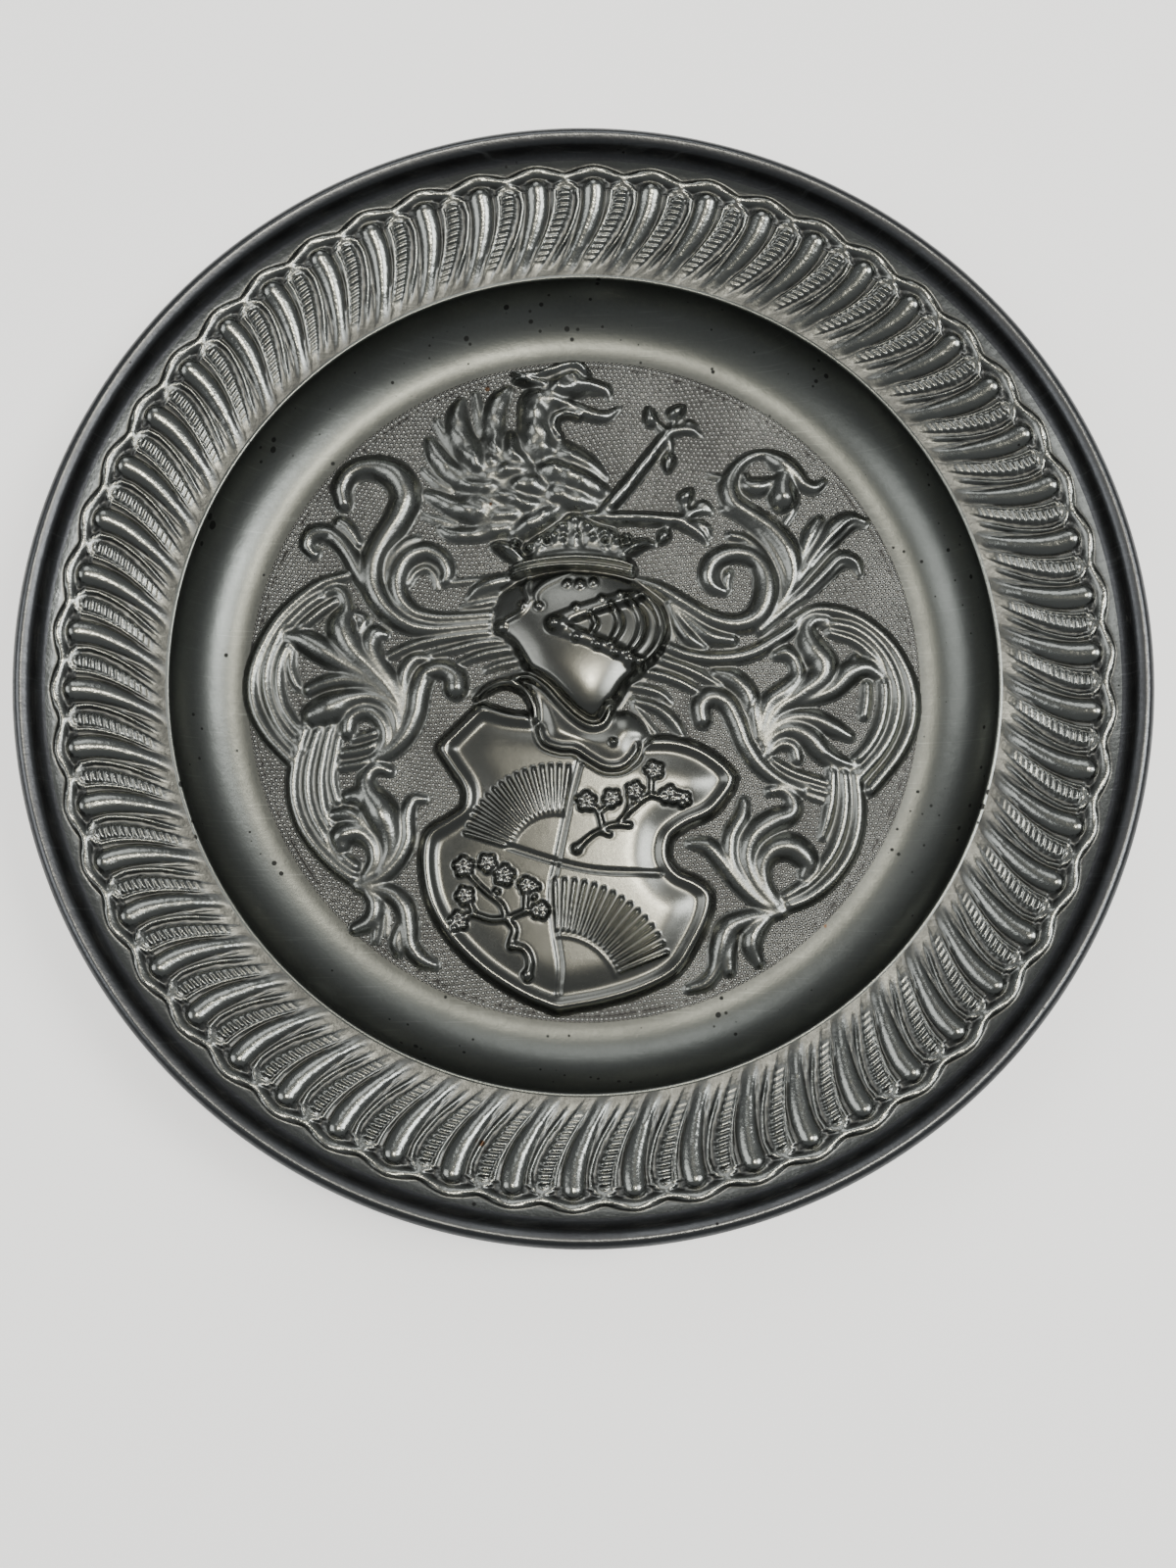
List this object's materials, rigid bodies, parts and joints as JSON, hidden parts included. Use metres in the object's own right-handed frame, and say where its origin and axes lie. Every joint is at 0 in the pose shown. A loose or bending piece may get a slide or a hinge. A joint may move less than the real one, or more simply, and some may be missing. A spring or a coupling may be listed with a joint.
{
  "type": "decorative wall plate",
  "caption": "Round cast plate with a rolled edge, a rim of swirling flutes between rope rows, a hollow well and a raised heraldic medallion, flat underneath.",
  "frame": {"origin": "middle of the flat underside, at the bottom of the plate", "axes": "+Z out of the carved face (up as the plate lies), +Y towards the top of the crest, +X to the right of the face"},
  "size_m": [0.3, 0.3, 0.0337],
  "materials": {
    "pewter": "satin, dark in the hollows and rubbed bright on the ridges"
  },
  "bodies": {
    "root": {"plate": "pewter"}
  },
  "joints": []
}
